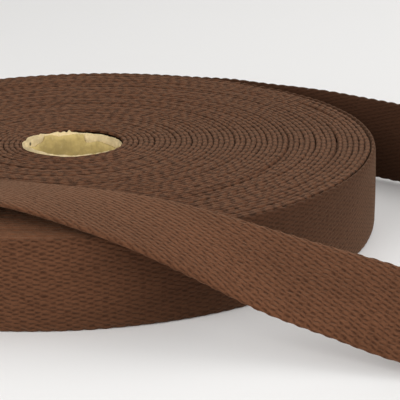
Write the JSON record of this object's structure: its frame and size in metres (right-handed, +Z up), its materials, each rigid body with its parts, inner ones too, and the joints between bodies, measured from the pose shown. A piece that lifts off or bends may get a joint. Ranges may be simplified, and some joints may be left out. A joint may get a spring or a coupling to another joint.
{
  "type": "roll of cotton webbing",
  "caption": "Flat roll of plain woven cotton webbing on a card core, its loose end looping out on the ground and folding back over the top.",
  "frame": {"origin": "on the surface that the roll lies on, under the middle of the whole object's box", "axes": "+Z up along the roll's own axis; +X towards the far end of the loose loop; +Y from the side where the loose end comes back to the side where it leaves the roll"},
  "size_m": [0.3544, 0.2798, 0.0385],
  "materials": {
    "card": "matt paper board",
    "webbing": "matt woven cotton",
    "webbing_loose": "matt woven cotton"
  },
  "bodies": {
    "root": {"core_tube": "card", "wound_webbing": "webbing", "loose_end": "webbing_loose"}
  },
  "joints": []
}
